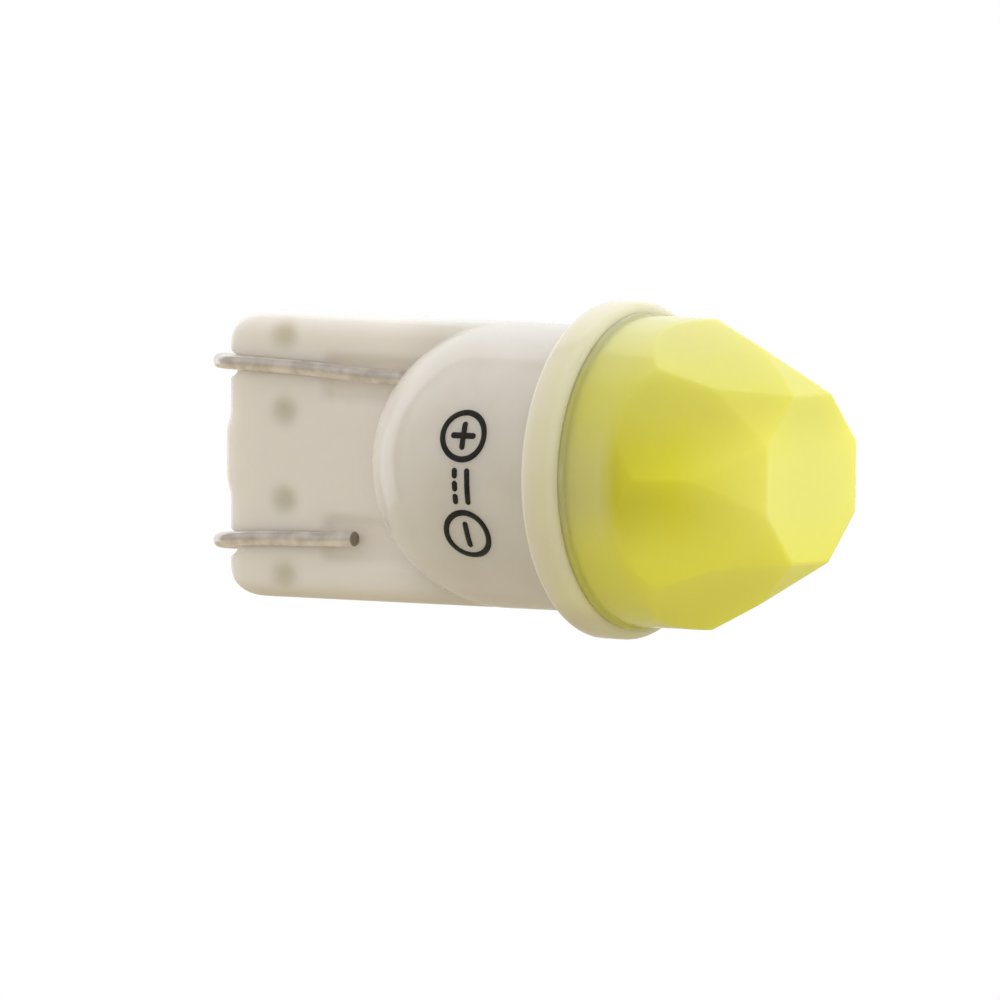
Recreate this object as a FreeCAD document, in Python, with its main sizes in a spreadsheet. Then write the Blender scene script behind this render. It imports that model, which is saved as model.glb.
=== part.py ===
import FreeCAD, Part
import math
import os
import re
import Sketcher

# Wedge base LED bulb. The bulb's axis is X, towards the lens, and the blade's width is along Z.
# The origin is on the axis, in the plane of the collar's back face, where the bulb seats.

SIZES = {
    # housing: barrel, collar and the spigot under the lens
    "barrel_radius": 4.54,
    "barrel_length": 3.4,
    "collar_radius": 5.35,
    "collar_height": 1.26,
    "collar_edge": 0.15,
    "spigot_radius": 4.3,
    "spigot_height": 1.84,
    "bore_radius": 3.3,
    "bore_depth": 5.0,
    "ledge_height": 0.4,
    # housing: blade
    "blade_width": 9.0,
    "blade_thickness": 2.2,
    "blade_reach": 13.55,
    "blade_corner": 1.0,
    "blade_edge": 0.6,
    "blade_nose": 0.7,
    "bulge_width": 2.4,
    "bulge_height": 0.25,
    "notch_radius": 0.45,
    "notch_depth": 0.3,
    "channel_width": 1.4,
    "channel_depth": 0.2,
    "channel_start": 9.85,
    "dent_width": 1.1,
    "dent_depth": 0.15,
    "dent_gap": 1.45,
    "dent_inner": 1.42,
    "dent_outer": 3.8,
    # lens
    "lens_radius": 4.93,
    "lens_top": 7.6,
    "lens_clearance": 0.05,
    "lens_bore": 3.7,
    "lens_crown_bore": 1.9,
    "lens_crown_wall": 1.2,
    "lens_turn": 1.8,
    "table_apothem": 2.67,
    "star_depth": 1.83,
    "ridge_depth": 3.6,
    # leads
    "lead_diameter": 0.48,
    "lead_clearance": 0.03,
    "lead_sink": 0.15,
    "lead_height": 2.55,
    "lead_tilt": 2.5,
    "lead_bend_reach": 7.2,
    "lead_bend_radius": 6.0,
    "lead_reach": 14.4,
    "lead_tail_reach": 8.65,
    "lead_stub": 0.45,
    "solder_radius": 0.5,
    "solder_tip_radius": 0.34,
    "solder_height": 0.35,
    "solder_clearance": 0.02,
    # circuit board
    "board_radius": 3.7,
    "board_thickness": 0.8,
    "board_clearance": 0.05,
    # LEDs on the front of the board
    "led_size": 3.0,
    "led_height": 0.65,
    "led_gap": 0.2,
    "cavity_size": 2.4,
    "cavity_depth": 0.4,
    "die_size": 0.9,
    "die_height": 0.15,
    "contact_width": 2.5,
    "anode_length": 0.6,
    "cathode_length": 1.5,
    "contact_inset": 0.1,
    # resistors and diode on the back of the board
    "resistor_length": 1.6,
    "resistor_width": 0.8,
    "resistor_height": 0.45,
    "resistor_side": 1.3,
    "resistor_offset": 1.9,
    "cap_length": 0.3,
    "cap_wall": 0.05,
    "diode_length": 2.7,
    "diode_width": 1.6,
    "diode_height": 1.0,
    "diode_standoff": 0.1,
    "tab_span": 3.7,
    "tab_width": 0.6,
    "tab_thickness": 0.12,
    "tab_height": 0.55,
}

FACETS = 8
EIGHTH = 360.0 / FACETS
FACET_COS = "cos(180 deg / %d)" % FACETS

doc = FreeCAD.newDocument("wedge_base_led_bulb")
sheet = doc.addObject("Spreadsheet::Sheet", "Sizes")
for row, (alias, value) in enumerate(SIZES.items(), start=1):
    sheet.set("A%d" % row, alias)
    sheet.set("B%d" % row, str(value))
    sheet.setAlias("B%d" % row, alias)
doc.recompute()

X = FreeCAD.Vector(1, 0, 0)
Y = FreeCAD.Vector(0, 1, 0)
Z = FreeCAD.Vector(0, 0, 1)
UNTURNED = FreeCAD.Rotation()
ALONG_X = FreeCAD.Rotation(Y, 90)
ALONG_Y = FreeCAD.Rotation(X, -90)


def cell(alias):
    """The number that the sheet holds under this alias."""
    return float(sheet.get(alias))


def sized(text):
    """An expression in which each size, a name with an underscore, is its cell of the sheet."""
    return re.sub(r"[a-z]+_[a-z_]+", lambda name: "Sizes." + name.group(), text)


def primitive(kind, name, sizes, x="0", y="0", z="0", turn=UNTURNED):
    """A Part primitive whose sizes and place are bound to the sheet."""
    part = doc.addObject("Part::" + kind, name)
    part.Placement = FreeCAD.Placement(FreeCAD.Vector(), turn)
    for name_of_size, text in sizes.items():
        part.setExpression(name_of_size, sized(text))
    for axis, text in (("x", x), ("y", y), ("z", z)):
        part.setExpression("Placement.Base." + axis, sized(text))
    return part


def rod(name, radius, length, x="0", y="0", z="0"):
    """A cylinder along the bulb's axis that starts at x."""
    return primitive("Cylinder", name, {"Radius": radius, "Height": length}, x, y, z, ALONG_X)


def block(name, length, width, height, x, y="0", z="0"):
    """A box that starts at x and is centred on y and z."""
    sizes = {"Length": length, "Width": width, "Height": height}
    return primitive("Box", name, sizes, x, "%s - (%s) / 2" % (y, width), "%s - (%s) / 2" % (z, height))


def joined(name, shapes):
    whole = doc.addObject("Part::MultiFuse", name)
    whole.Shapes = shapes
    return whole


def shared(name, shapes):
    whole = doc.addObject("Part::MultiCommon", name)
    whole.Shapes = shapes
    return whole


def cut(name, base, tool):
    whole = doc.addObject("Part::Cut", name)
    whole.Base = base
    whole.Tool = tool
    return whole


def origin_plane(body, role):
    for feature in body.Origin.OriginFeatures:
        if feature.Role == role:
            return feature
    raise ValueError(role)


# Places that several pieces share
BLADE_HALF = "blade_thickness / 2"
BLADE_TIP = "blade_reach + bulge_height"
LEAD_SIDE = "(blade_thickness / 2 + lead_diameter / 2 - lead_sink)"
BOARD_FRONT = "ledge_height + board_thickness"
SPIGOT_TOP = "collar_height + spigot_height"


def lead_shape(radius):
    """The lead that leaves on the near face: straight, a slight bend, a hairpin and the tail."""
    side = cell("blade_thickness") / 2 + cell("lead_diameter") / 2 - cell("lead_sink")
    tilt = math.radians(cell("lead_tilt"))
    along = FreeCAD.Vector(-math.cos(tilt), 0, math.sin(tilt))
    top = cell("ledge_height") + cell("board_thickness") + cell("lead_stub")
    start = FreeCAD.Vector(top, -side, cell("lead_height"))
    corner = FreeCAD.Vector(-cell("lead_bend_reach"), -side, cell("lead_height"))
    tangent = cell("lead_bend_radius") * math.tan(tilt / 2)
    sagitta = cell("lead_bend_radius") * (1 / math.cos(tilt / 2) - 1)
    inward = (along + X).normalize()
    bend_start = corner + X * tangent
    bend_end = corner + along * tangent
    turn_x = -cell("lead_reach") + side * math.cos(tilt) + cell("lead_diameter") / 2
    leg = (corner.x - turn_x) / math.cos(tilt)
    tail = (-cell("lead_tail_reach") - turn_x) / math.cos(tilt)
    turn_start = corner + along * leg
    turn_end = turn_start + Y * (2 * side)
    turn_tip = turn_start + Y * side + along * side
    edges = [
        Part.LineSegment(start, bend_start).toShape(),
        Part.Arc(bend_start, corner + inward * sagitta, bend_end).toShape(),
        Part.LineSegment(bend_end, turn_start).toShape(),
        Part.Arc(turn_start, turn_tip, turn_end).toShape(),
        Part.LineSegment(turn_end, turn_end - along * tail).toShape(),
    ]
    section = Part.Wire(Part.Circle(start, X, radius).toShape())
    return Part.Wire(edges).makePipeShell([section], True, True)


def lead(name, radius, half_turns):
    """A lead, or the room for one, turned about the axis by a number of half turns."""
    wire = doc.addObject("Part::Feature", name)
    wire.Shape = lead_shape(radius)
    wire.Placement = FreeCAD.Placement(FreeCAD.Vector(), FreeCAD.Rotation(X, 180 * half_turns))
    return wire


def leads():
    """Two tinned copper wires, alike, half a turn apart."""
    radius = cell("lead_diameter") / 2
    return [lead("lead_wire_a", radius, 0), lead("lead_wire_b", radius, 1)]


def lead_rooms(name):
    """What the leads pass through is cut by the same wires with their clearance added."""
    radius = cell("lead_diameter") / 2 + cell("lead_clearance")
    return [lead("%s_room_%d" % (name, turn), radius, turn) for turn in (0, 1)]


def circle_sketch(body, name, circles):
    """A sketch across the axis of circles, each of a radius and a place bound to the sheet."""
    sketch = body.newObject("Sketcher::SketchObject", name)
    sketch.AttachmentSupport = [(origin_plane(body, "YZ_Plane"), "")]
    sketch.MapMode = "FlatFace"
    for radius, y, z in circles:
        index = sketch.addGeometry(Part.Circle(FreeCAD.Vector(y[0], z[0], 0), Z, radius[0]))
        bound = [("Radius", (index,), radius)]
        if y[1]:
            bound.append(("DistanceX", (-1, 1, index, 3), y))
            bound.append(("DistanceY", (-1, 1, index, 3), z))
        else:
            sketch.addConstraint(Sketcher.Constraint("Coincident", index, 3, -1, 1))
        for kind, place, (value, text) in bound:
            row = sketch.addConstraint(Sketcher.Constraint(kind, *place, value))
            sketch.setExpression("Constraints[%d]" % row, sized(text))
    return sketch


def disc_circle(radius):
    """A circle of this size about the axis, for circle_sketch."""
    return (cell(radius), radius), (0, ""), (0, "")


def collar():
    """The ring that seats on the socket's face, with both outer edges rounded."""
    body = doc.addObject("PartDesign::Body", "collar")
    ring = body.newObject("PartDesign::Pad", "collar_disc")
    ring.Profile = circle_sketch(body, "collar_outline", [disc_circle("collar_radius")])
    ring.setExpression("Length", sized("collar_height"))
    doc.recompute()
    rounding = body.newObject("PartDesign::Fillet", "collar_rounding")
    edges = []
    for number, edge in enumerate(ring.Shape.Edges, start=1):
        if isinstance(edge.Curve, Part.Circle):
            edges.append("Edge%d" % number)
    rounding.Base = (ring, edges)
    rounding.setExpression("Radius", sized("collar_edge"))
    body.Tip = rounding
    return body


def blade_section(reach):
    """The blade's section along its length: a rectangle with rounded edges, inside the barrel's circle."""
    start = "-(%s)" % BLADE_TIP
    core = block("section_core", reach, "(blade_thickness - 2 * blade_edge)", "blade_width", start)
    faces = block("section_faces", reach, "blade_thickness", "(blade_width - 2 * blade_edge)", start)
    edges = []
    for face, y in (("near", "-"), ("far", "")):
        for row, z in (("low", "-"), ("high", "")):
            edges.append(rod("section_edge_%s_%s" % (face, row), "blade_edge", reach, start,
                             "%s(%s - blade_edge)" % (y, BLADE_HALF), "%s(blade_width / 2 - blade_edge)" % z))
    return joined("blade_section", [core, faces] + edges)


def blade():
    """A flat blade with rounded corners, a low bulge at its end, a round nose and round edges."""
    reach = "blade_reach - barrel_length / 2"
    straight = block("blade_long", reach, "blade_thickness", "(blade_width - 2 * blade_corner)",
                     "-blade_reach")
    wide = block("blade_wide", reach + " - blade_corner", "blade_thickness", "blade_width",
                 "-blade_reach + blade_corner")
    corners = []
    for side in ("-", ""):
        corners.append(primitive(
            "Cylinder", "blade_corner_%s" % ("low" if side else "high"),
            {"Radius": "blade_corner", "Height": "blade_thickness"},
            "-blade_reach + blade_corner", "-" + BLADE_HALF,
            "%s(blade_width / 2 - blade_corner)" % side, ALONG_Y))
    bulge_radius = "((bulge_width ^ 2 / 4 + bulge_height ^ 2) / (2 * bulge_height))"
    bulge = primitive("Cylinder", "blade_bulge",
                      {"Radius": bulge_radius, "Height": "blade_thickness"},
                      "-(%s) + %s" % (BLADE_TIP, bulge_radius), "-" + BLADE_HALF, turn=ALONG_Y)
    outline = joined("blade_outline", [straight, wide, bulge] + corners)
    nose_reach = BLADE_TIP + " - barrel_length / 2"
    thin = block("nose_thin", nose_reach, "(blade_thickness - 2 * blade_nose)", "blade_width",
                 "-(%s)" % BLADE_TIP)
    thick = block("nose_thick", nose_reach + " - blade_nose", "blade_thickness", "blade_width",
                  "-(%s) + blade_nose" % BLADE_TIP)
    noses = []
    for side in ("-", ""):
        noses.append(primitive(
            "Cylinder", "nose_%s" % ("near" if side else "far"),
            {"Radius": "blade_nose", "Height": "blade_width"},
            "-(%s) + blade_nose" % BLADE_TIP, "%s(%s - blade_nose)" % (side, BLADE_HALF),
            "-blade_width / 2"))
    nose = joined("blade_nose", [thin, thick] + noses)
    return shared("blade", [outline, nose, blade_section(nose_reach)])


def blade_cuts(dome):
    """Lead channels by the dome, notches in the end, and four shallow dents in each face."""
    cuts = []
    channels = []
    dent_radius = "((dent_width ^ 2 / 4 + dent_depth ^ 2) / (2 * dent_depth))"
    dent_x = "-(channel_start + dent_gap)"
    notch_x = "-blade_reach - (notch_radius - notch_depth)"
    lead_end = "(lead_height + (lead_reach - lead_bend_reach) * tan(lead_tilt * 1 deg))"
    for face, y in (("near", "-"), ("far", "")):
        for row, z in (("low", "-"), ("high", "")):
            place = "%s_%s" % (face, row)
            channels.append(block(
                "channel_" + place, "channel_start - barrel_length", "channel_depth", "channel_width",
                "-channel_start", "%s(%s - channel_depth / 2)" % (y, BLADE_HALF), z + "lead_height"))
            for column in ("inner", "outer"):
                cuts.append(primitive(
                    "Sphere", "dent_%s_%s" % (place, column), {"Radius": dent_radius}, dent_x,
                    "%s(%s + %s - dent_depth)" % (y, BLADE_HALF, dent_radius), "%sdent_%s" % (z, column)))
    for row, z in (("low", "-"), ("high", "")):
        cuts.append(primitive("Cylinder", "notch_" + row,
                              {"Radius": "notch_radius", "Height": "blade_thickness"},
                              notch_x, "-" + BLADE_HALF, z + lead_end, ALONG_Y))
    return cuts + [cut("channels", joined("channel_blocks", channels), dome)]


def housing():
    """One milky moulding: wedge blade, domed barrel, collar, and the spigot under the lens."""
    dome = primitive("Sphere", "barrel_dome", {"Radius": "barrel_radius"}, "-barrel_length")
    barrel = rod("barrel", "barrel_radius", "barrel_length", "-barrel_length")
    spigot = rod("spigot", "spigot_radius", "spigot_height", "collar_height")
    solid = joined("housing_solid", [dome, barrel, collar(), spigot, blade()])
    bore = rod("bore", "bore_radius", "bore_depth + %s" % SPIGOT_TOP, "-bore_depth")
    seat = rod("board_seat", "board_radius + board_clearance", SPIGOT_TOP + " - ledge_height",
               "ledge_height")
    tools = [bore, seat] + blade_cuts(dome) + lead_rooms("housing")
    return cut("housing", solid, joined("housing_cuts", tools))


def facet_cone(name, apothem, slope, turn):
    """An eight-sided cone of flat facets, from the collar to the table of the lens."""
    ends = []
    height = "(lens_top - collar_height)"
    for end, x, grown in (("top", "lens_top", "0"), ("base", "collar_height", height)):
        ring = doc.addObject("Part::RegularPolygon", "%s_%s" % (name, end))
        ring.Polygon = FACETS
        ring.Placement.Rotation = ALONG_X * FreeCAD.Rotation(Z, turn)
        ring.setExpression("Circumradius", sized("(%s + %s * %s) / %s" % (apothem, slope, grown, FACET_COS)))
        ring.setExpression("Placement.Base.x", sized(x))
        ends.append(ring)
    cone = doc.addObject("Part::Loft", name)
    cone.Sections = ends
    cone.Solid = True
    cone.Ruled = True
    return cone


def lens():
    """A hollow yellow moulding: round skirt over the spigot, and a crown of two rows of facets."""
    table_corner = "table_apothem / %s" % FACET_COS
    main_slope = "((lens_radius * %s - %s) / ridge_depth)" % (FACET_COS, table_corner)
    star_tip = "(%s + %s * star_depth) / %s" % (table_corner, main_slope, FACET_COS)
    star_slope = "((%s - table_apothem) / star_depth)" % star_tip
    blank = rod("lens_blank", "lens_radius", "lens_top - collar_height", "collar_height")
    mains = facet_cone("main_facets", table_corner, main_slope, 0)
    stars = facet_cone("star_facets", "table_apothem", star_slope, EIGHTH / 2)
    crown = shared("lens_crown", [blank, mains, stars])
    skirt_bore = rod("skirt_bore", "spigot_radius + lens_clearance",
                     "spigot_height + lens_clearance", "collar_height")
    hollow_start = SPIGOT_TOP + " + lens_clearance"
    hollow = primitive("Cone", "lens_hollow",
                       {"Radius1": "lens_bore", "Radius2": "lens_crown_bore",
                        "Height": "lens_top - lens_crown_wall - (%s)" % hollow_start},
                       hollow_start, turn=ALONG_X)
    whole = cut("lens", crown, joined("lens_inside", [skirt_bore, hollow]))
    whole.Placement.Rotation = FreeCAD.Rotation(-X, 1)
    whole.setExpression("Placement.Rotation.Angle", sized("lens_turn"))
    return whole


def circuit_board():
    """A round glass-fibre board on the ledge of the bore, drilled for both leads."""
    body = doc.addObject("PartDesign::Body", "circuit_board")
    disc = body.newObject("PartDesign::Pad", "board_disc")
    disc.Profile = circle_sketch(body, "board_outline", [disc_circle("board_radius")])
    disc.setExpression("Length", sized("board_thickness"))
    radius = (cell("lead_diameter") / 2 + cell("lead_clearance"), "lead_diameter / 2 + lead_clearance")
    side = cell("blade_thickness") / 2 + cell("lead_diameter") / 2 - cell("lead_sink")
    height = cell("lead_height")
    holes = []
    for sign, mark in ((1, ""), (-1, "-")):
        holes.append((radius, (-sign * side, "%s(-%s)" % (mark, LEAD_SIDE)),
                      (sign * height, mark + "lead_height")))
    drilled = body.newObject("PartDesign::Pocket", "board_holes")
    drilled.Profile = circle_sketch(body, "board_hole_circles", holes)
    drilled.Type = "ThroughAll"
    drilled.Reversed = True
    body.Tip = drilled
    body.setExpression("Placement.Base.x", sized("ledge_height"))
    return body


def solder_joint(name, y_mark, z_mark):
    """A cone of solder round the lead, on the front of the board."""
    y = "%s%s" % (y_mark, LEAD_SIDE)
    z = "%slead_height" % z_mark
    cone = primitive("Cone", name + "_cone",
                     {"Radius1": "solder_radius", "Radius2": "solder_tip_radius", "Height": "solder_height"},
                     BOARD_FRONT, y, z, ALONG_X)
    room = rod(name + "_room", "lead_diameter / 2 + solder_clearance", "solder_height", BOARD_FRONT, y, z)
    return cut(name, cone, room)


def led(name, y_mark):
    """A surface LED: white frame, two contacts through its floor, a die, and the phosphor over it."""
    middle = "%s(led_size + led_gap) / 2" % y_mark
    floor = "(led_height - cavity_depth)"
    cavity_x = "%s + %s" % (BOARD_FRONT, floor)
    cathode_y = "%s + led_size / 2 - contact_inset - cathode_length / 2" % middle
    anode_y = "%s - led_size / 2 + contact_inset + anode_length / 2" % middle
    anode = block(name + "_anode", floor, "anode_length", "contact_width", BOARD_FRONT, anode_y)
    cathode = block(name + "_cathode", floor, "cathode_length", "contact_width", BOARD_FRONT, cathode_y)
    die = block(name + "_die", "die_height", "die_size", "die_size", cavity_x, cathode_y)
    cavity = block(name + "_cavity", "cavity_depth", "cavity_size", "cavity_size", cavity_x, middle)
    blank = block(name + "_blank", "led_height", "led_size", "led_size", BOARD_FRONT, middle)
    frame = cut(name + "_frame", blank, joined(name + "_pockets", [cavity, anode, cathode]))
    phosphor = cut(name + "_phosphor", cavity, die)
    return [frame, phosphor, die, anode, cathode]


def resistor(name, mark):
    """A chip resistor: a ceramic body and a metal cap on each end."""
    y = mark + "resistor_side"
    z = mark + "resistor_offset"
    body = block(name + "_body", "resistor_height - 2 * cap_wall", "(resistor_length - 2 * cap_wall)",
                 "(resistor_width - 2 * cap_wall)", "ledge_height - resistor_height + cap_wall", y, z)
    caps = []
    for end, side in (("a", "-"), ("b", "+")):
        place = "%s %s (resistor_length - cap_length) / 2" % (y, side)
        blank = block("%s_cap_%s_blank" % (name, end), "resistor_height", "cap_length", "resistor_width",
                      "ledge_height - resistor_height", place, z)
        caps.append(cut("%s_cap_%s" % (name, end), blank, body))
    return [body] + caps


def diode():
    """A surface diode in the lead's circuit: a body that stands off the board on two bent tabs."""
    body = block("diode_body", "diode_height", "diode_length", "diode_width",
                 "ledge_height - diode_standoff - diode_height")
    tabs = []
    for end, side in (("a", "-"), ("b", "")):
        foot_length = "(tab_span - diode_length) / 2"
        foot = block("diode_foot_" + end, "tab_thickness", foot_length, "tab_width",
                     "ledge_height - tab_thickness", "%s(tab_span + diode_length) / 4" % side)
        riser = block("diode_riser_" + end, "tab_height", "tab_thickness", "tab_width",
                      "ledge_height - tab_height", "%s(diode_length + tab_thickness) / 2" % side)
        tabs.append(joined("diode_tab_" + end, [foot, riser]))
    return [body] + tabs


def check(part):
    """Stops the build where a sub-part has failed, is empty or isn't sound."""
    if part.Shape.isNull() or not part.Shape.isValid() or part.Shape.Volume <= 0:
        raise RuntimeError("%s has no sound shape" % part.Label)


pieces = [housing(), lens()] + leads() + [circuit_board()]
pieces += [solder_joint("solder_joint_a", "-", ""), solder_joint("solder_joint_b", "", "-")]
pieces += led("led_1", "-") + led("led_2", "")
pieces += resistor("resistor_1", "") + resistor("resistor_2", "-") + diode()
for piece in pieces:
    piece.Label = piece.Name
doc.recompute()

for item in doc.Objects:
    if "Invalid" in item.State or "Error" in item.State:
        raise RuntimeError("%s: %s" % (item.Label, item.State))
os.makedirs("parts", exist_ok=True)
for piece in pieces:
    check(piece)
for piece in pieces:
    piece.Shape.exportStep("parts/%s.step" % piece.Label)
    print("%s: %d solid(s), %.4f mm3" % (piece.Label, len(piece.Shape.Solids), piece.Shape.Volume))
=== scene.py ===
import math
import bpy
import numpy as np
from mathutils import Matrix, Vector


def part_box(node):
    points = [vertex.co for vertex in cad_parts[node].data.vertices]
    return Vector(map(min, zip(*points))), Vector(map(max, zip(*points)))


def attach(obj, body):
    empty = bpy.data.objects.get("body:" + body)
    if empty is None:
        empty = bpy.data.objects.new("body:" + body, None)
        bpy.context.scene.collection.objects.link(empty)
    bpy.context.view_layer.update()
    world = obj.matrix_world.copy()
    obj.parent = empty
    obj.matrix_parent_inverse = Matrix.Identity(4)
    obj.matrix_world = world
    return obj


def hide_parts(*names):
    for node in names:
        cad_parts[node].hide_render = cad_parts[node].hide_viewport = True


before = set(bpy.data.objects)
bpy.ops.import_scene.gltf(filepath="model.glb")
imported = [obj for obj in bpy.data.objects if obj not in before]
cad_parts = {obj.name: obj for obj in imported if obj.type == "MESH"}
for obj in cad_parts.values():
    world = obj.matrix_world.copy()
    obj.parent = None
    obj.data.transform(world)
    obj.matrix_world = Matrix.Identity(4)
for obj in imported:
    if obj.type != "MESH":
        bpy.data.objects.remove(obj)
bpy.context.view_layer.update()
MM = 0.001

# Housing: one milky polycarbonate moulding. A flat wedge blade goes into the socket, a domed
# barrel follows it, a collar seats on the socket's face, and a spigot carries the lens.
# It is injection moulded, so every outer edge has a small radius and the blade has mould marks.

housing_low, housing_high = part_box("housing")
blade_tip = housing_low.x
collar_radius = housing_high.z
spigot_top = housing_high.x
barrel_radius = 4.54 * MM
barrel_length = 3.4 * MM
collar_height = 1.26 * MM
spigot_radius = 4.3 * MM
board_seat_radius = 3.75 * MM
bore_radius = 3.3 * MM
bore_depth = 5.0 * MM
ledge_height = 0.4 * MM

blade_half = 1.1 * MM
blade_edge = 0.6 * MM
blade_top = 4.5 * MM
blade_corner = 1.0 * MM
blade_nose = 0.55 * MM
bulge_height = 0.25 * MM
bulge_half = 1.2 * MM
blade_reach = -blade_tip - bulge_height
end_zone = -11.9 * MM
end_depth = 1.65 * MM
end_shrink = (0.97, 0.985)
root_blend = 0.14 * MM
root_fade = (3.9 * MM, 5.2 * MM)
dome_settle = 0.6 * MM

lead_radius = 0.24 * MM
lead_side = blade_half + lead_radius - 0.15 * MM
lead_height = 2.55 * MM
lead_tilt = math.radians(2.5)
lead_bend_x = -7.2 * MM
lead_tail_x = -8.65 * MM
lead_twist = 0.13 * MM
notch_radius = 0.45 * MM
notch_depth = 0.3 * MM
channel_half = 0.7 * MM
channel_depth = 0.2 * MM
channel_start = -9.85 * MM
channel_soft = 0.24 * MM
dent_half = 0.62 * MM
dent_depth = 0.15 * MM
dip_fade = 0.35 * MM
dent_x = -11.3 * MM
dent_heights = (1.42 * MM, 3.8 * MM)


def smooth_step(low, high, value):
    """0 below low, 1 above high, and between them the cubic 3 t^2 - 2 t^3."""
    t = np.clip((value - low) / (high - low), 0.0, 1.0)
    return t * t * (3.0 - 2.0 * t)


def smooth_max(a, b, blend):
    """The larger of two lengths, with the corner between them filled by a parabola of this width."""
    gap = np.clip(1.0 - np.abs(a - b) / blend, 0.0, 1.0)
    return np.maximum(a, b) + blend * gap * gap / 4.0


def rounded_profile(points, radii, steps=6):
    """A polyline of (x, r) points whose corners are arcs: each arc leaves the corner at
    radius * tan(turn / 2) along both sides, and its points turn evenly from one side to the other."""
    points = np.asarray(points, float)
    out = [points[:1]]
    for before, corner, after, radius in zip(points, points[1:], points[2:], radii):
        a = (before - corner) / np.linalg.norm(before - corner)
        b = (after - corner) / np.linalg.norm(after - corner)
        half = math.acos(np.clip(a @ b, -1.0, 1.0)) / 2.0
        middle = corner + (a + b) / np.linalg.norm(a + b) * radius / math.sin(half)
        start = corner + a * radius / math.tan(half) - middle
        end = corner + b * radius / math.tan(half) - middle
        t = np.linspace(0.0, 1.0, steps + 1)[:, None]
        turn = math.pi - 2.0 * half
        out.append(middle + (np.sin((1.0 - t) * turn) * start + np.sin(t * turn) * end) / math.sin(turn))
    out.append(points[-1:])
    return np.concatenate(out)


def evenly(points, step):
    """The same line with extra points, so that no stretch of it is longer than step."""
    out = [points[:1]]
    for a, b in zip(points, points[1:]):
        count = max(1, math.ceil(np.linalg.norm(b - a) / step))
        out.append(a + (b - a) * (np.arange(1, count + 1) / count)[:, None])
    return np.concatenate(out)


def grid_faces(grid, ring=False):
    """Points and quads over a grid (rows, columns, 3). The columns go round, so the last is joined
    to the first, and in a ring the rows do too. The surface is closed, so the sum of p0 . (p1 x p2)
    over its faces, six times its volume, is positive when the faces look outwards."""
    rows, columns = grid.shape[:2]
    index = np.arange(rows * columns).reshape(rows, columns)
    lower, upper = (index, np.roll(index, -1, axis=0)) if ring else (index[:-1], index[1:])
    quads = np.stack([lower, np.roll(lower, -1, 1), np.roll(upper, -1, 1), upper], axis=-1).reshape(-1, 4)
    points = grid.reshape(-1, 3)
    a, b, c, d = (points[quads[:, k]] for k in range(4))
    volume = (np.cross(b, c) * a).sum() + (np.cross(c, d) * a).sum()
    return points, quads if volume > 0.0 else quads[:, ::-1]


def closed_piece(name, surfaces, material):
    """One smooth object from closed surfaces: doubles are merged, so that rows which shrink to a
    point or a line are sewn up there, and the piece rides on the one body."""
    starts = np.cumsum([0] + [len(points) for points, _ in surfaces])
    points = np.concatenate([points for points, _ in surfaces])
    faces = np.concatenate([quads + start for (_, quads), start in zip(surfaces, starts)])
    _, first, place = np.unique(np.round(points / 1e-7).astype(np.int64), axis=0,
                                return_index=True, return_inverse=True)
    faces = place.reshape(-1)[faces]
    following = np.roll(faces, -1, axis=1)
    lists = [f[f != g].tolist() for f, g in zip(faces, following)]
    mesh = bpy.data.meshes.new(name)
    mesh.from_pydata(points[first], [], [f for f in lists if len(f) > 2])
    mesh.validate()
    mesh.shade_smooth()
    mesh.materials.append(material)
    piece = bpy.data.objects.new(name, mesh)
    bpy.context.scene.collection.objects.link(piece)
    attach(piece, "root")
    return piece


def lead_line(x, side=0.0):
    """Height of the lead's middle over the axis: level by the barrel, and tilted past its bend.
    The fold was bent a little askew, so the run (side 1) lies higher and the tail (-1) lower."""
    askew = lead_twist * side * smooth_step(4.0 * MM, 6.5 * MM, -x)
    return lead_height + np.clip(lead_bend_x - x, 0.0, None) * math.tan(lead_tilt) + askew


def blade_end(z):
    """Where the blade ends at height z: straight, with a low bulge in the middle, rounded
    corners, and a round notch for each lead."""
    z = np.abs(z)
    bulge_radius = (bulge_half ** 2 + bulge_height ** 2) / (2.0 * bulge_height)
    bulge = blade_tip + bulge_radius - np.sqrt(np.clip(bulge_radius ** 2 - z ** 2, 0.0, None))
    corner = np.clip(z - blade_top + blade_corner, 0.0, blade_corner)
    straight = -blade_reach + blade_corner - np.sqrt(blade_corner ** 2 - corner ** 2)
    end = -smooth_max(-bulge, -straight, 0.08 * MM)
    aside = z - lead_line(-blade_reach)
    notch_middle = -blade_reach - (notch_radius - notch_depth)
    notch = notch_middle + np.sqrt(np.clip(notch_radius ** 2 - aside ** 2, 0.0, None))
    return smooth_max(end, notch, 0.06 * MM)


def blade_dip(x, z, near):
    """How far the blade's face lies below flat at a point of it: four dents, the sunk
    channels by the barrel, and the grooves that the leads lie in."""
    dip = np.zeros_like(x)
    for height in dent_heights:
        away = np.hypot(x - dent_x, np.abs(z) - height) / dent_half
        dip = np.maximum(dip, dent_depth * np.clip(1.0 - away ** 2, 0.0, 1.0) ** 2)
    aside = np.abs(np.abs(z) - lead_height)
    across = smooth_step(-channel_half - channel_soft, -channel_half + channel_soft, -aside)
    along = smooth_step(channel_start - channel_soft, channel_start + channel_soft, x)
    dip = np.maximum(dip, channel_depth * across * along)
    runs_on = np.where(z > 0.0, near, ~near)
    aside = np.abs(z) - lead_line(x, np.where(runs_on, 1.0, -1.0))
    groove = blade_half - lead_side + np.sqrt(np.clip(lead_radius ** 2 - aside ** 2, 0.0, None))
    tail = smooth_step(-lead_tail_x - 0.04 * MM, -lead_tail_x + 0.04 * MM, -x)
    return np.maximum(dip, np.clip(groove, 0.0, None) * np.where(runs_on, 1.0, tail))


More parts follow.
